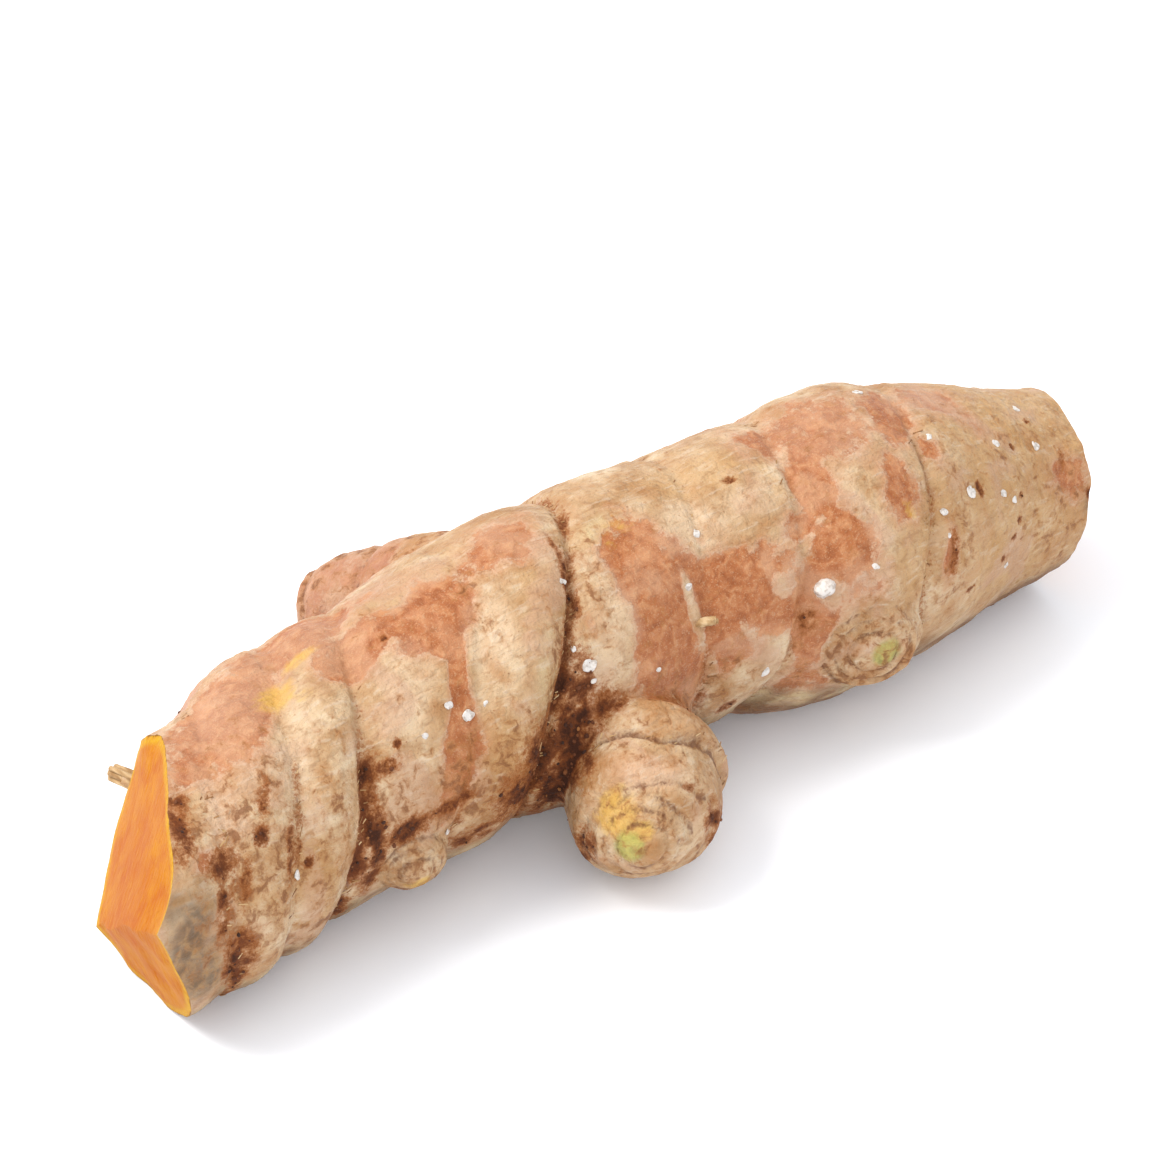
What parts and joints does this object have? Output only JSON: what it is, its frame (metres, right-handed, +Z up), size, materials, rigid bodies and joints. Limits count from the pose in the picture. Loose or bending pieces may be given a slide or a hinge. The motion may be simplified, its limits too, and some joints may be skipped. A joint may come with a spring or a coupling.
{
  "type": "turmeric root",
  "caption": "Fresh turmeric rhizome with leaf-scar rings, a short side finger, a back stub and bud eyes, trimmed by a knife at both ends.",
  "frame": {"origin": "centre of the bounding box in X and Y, on the surface the root lies on", "axes": "+X along the root from the faceted cut to the narrow trimmed end, +Z up, -Y on the side of the short finger"},
  "size_m": [0.1124, 0.047, 0.0268],
  "materials": {
    "turmeric_skin": null
  },
  "bodies": {
    "root": {"turmeric_root": "turmeric_skin"}
  },
  "joints": []
}
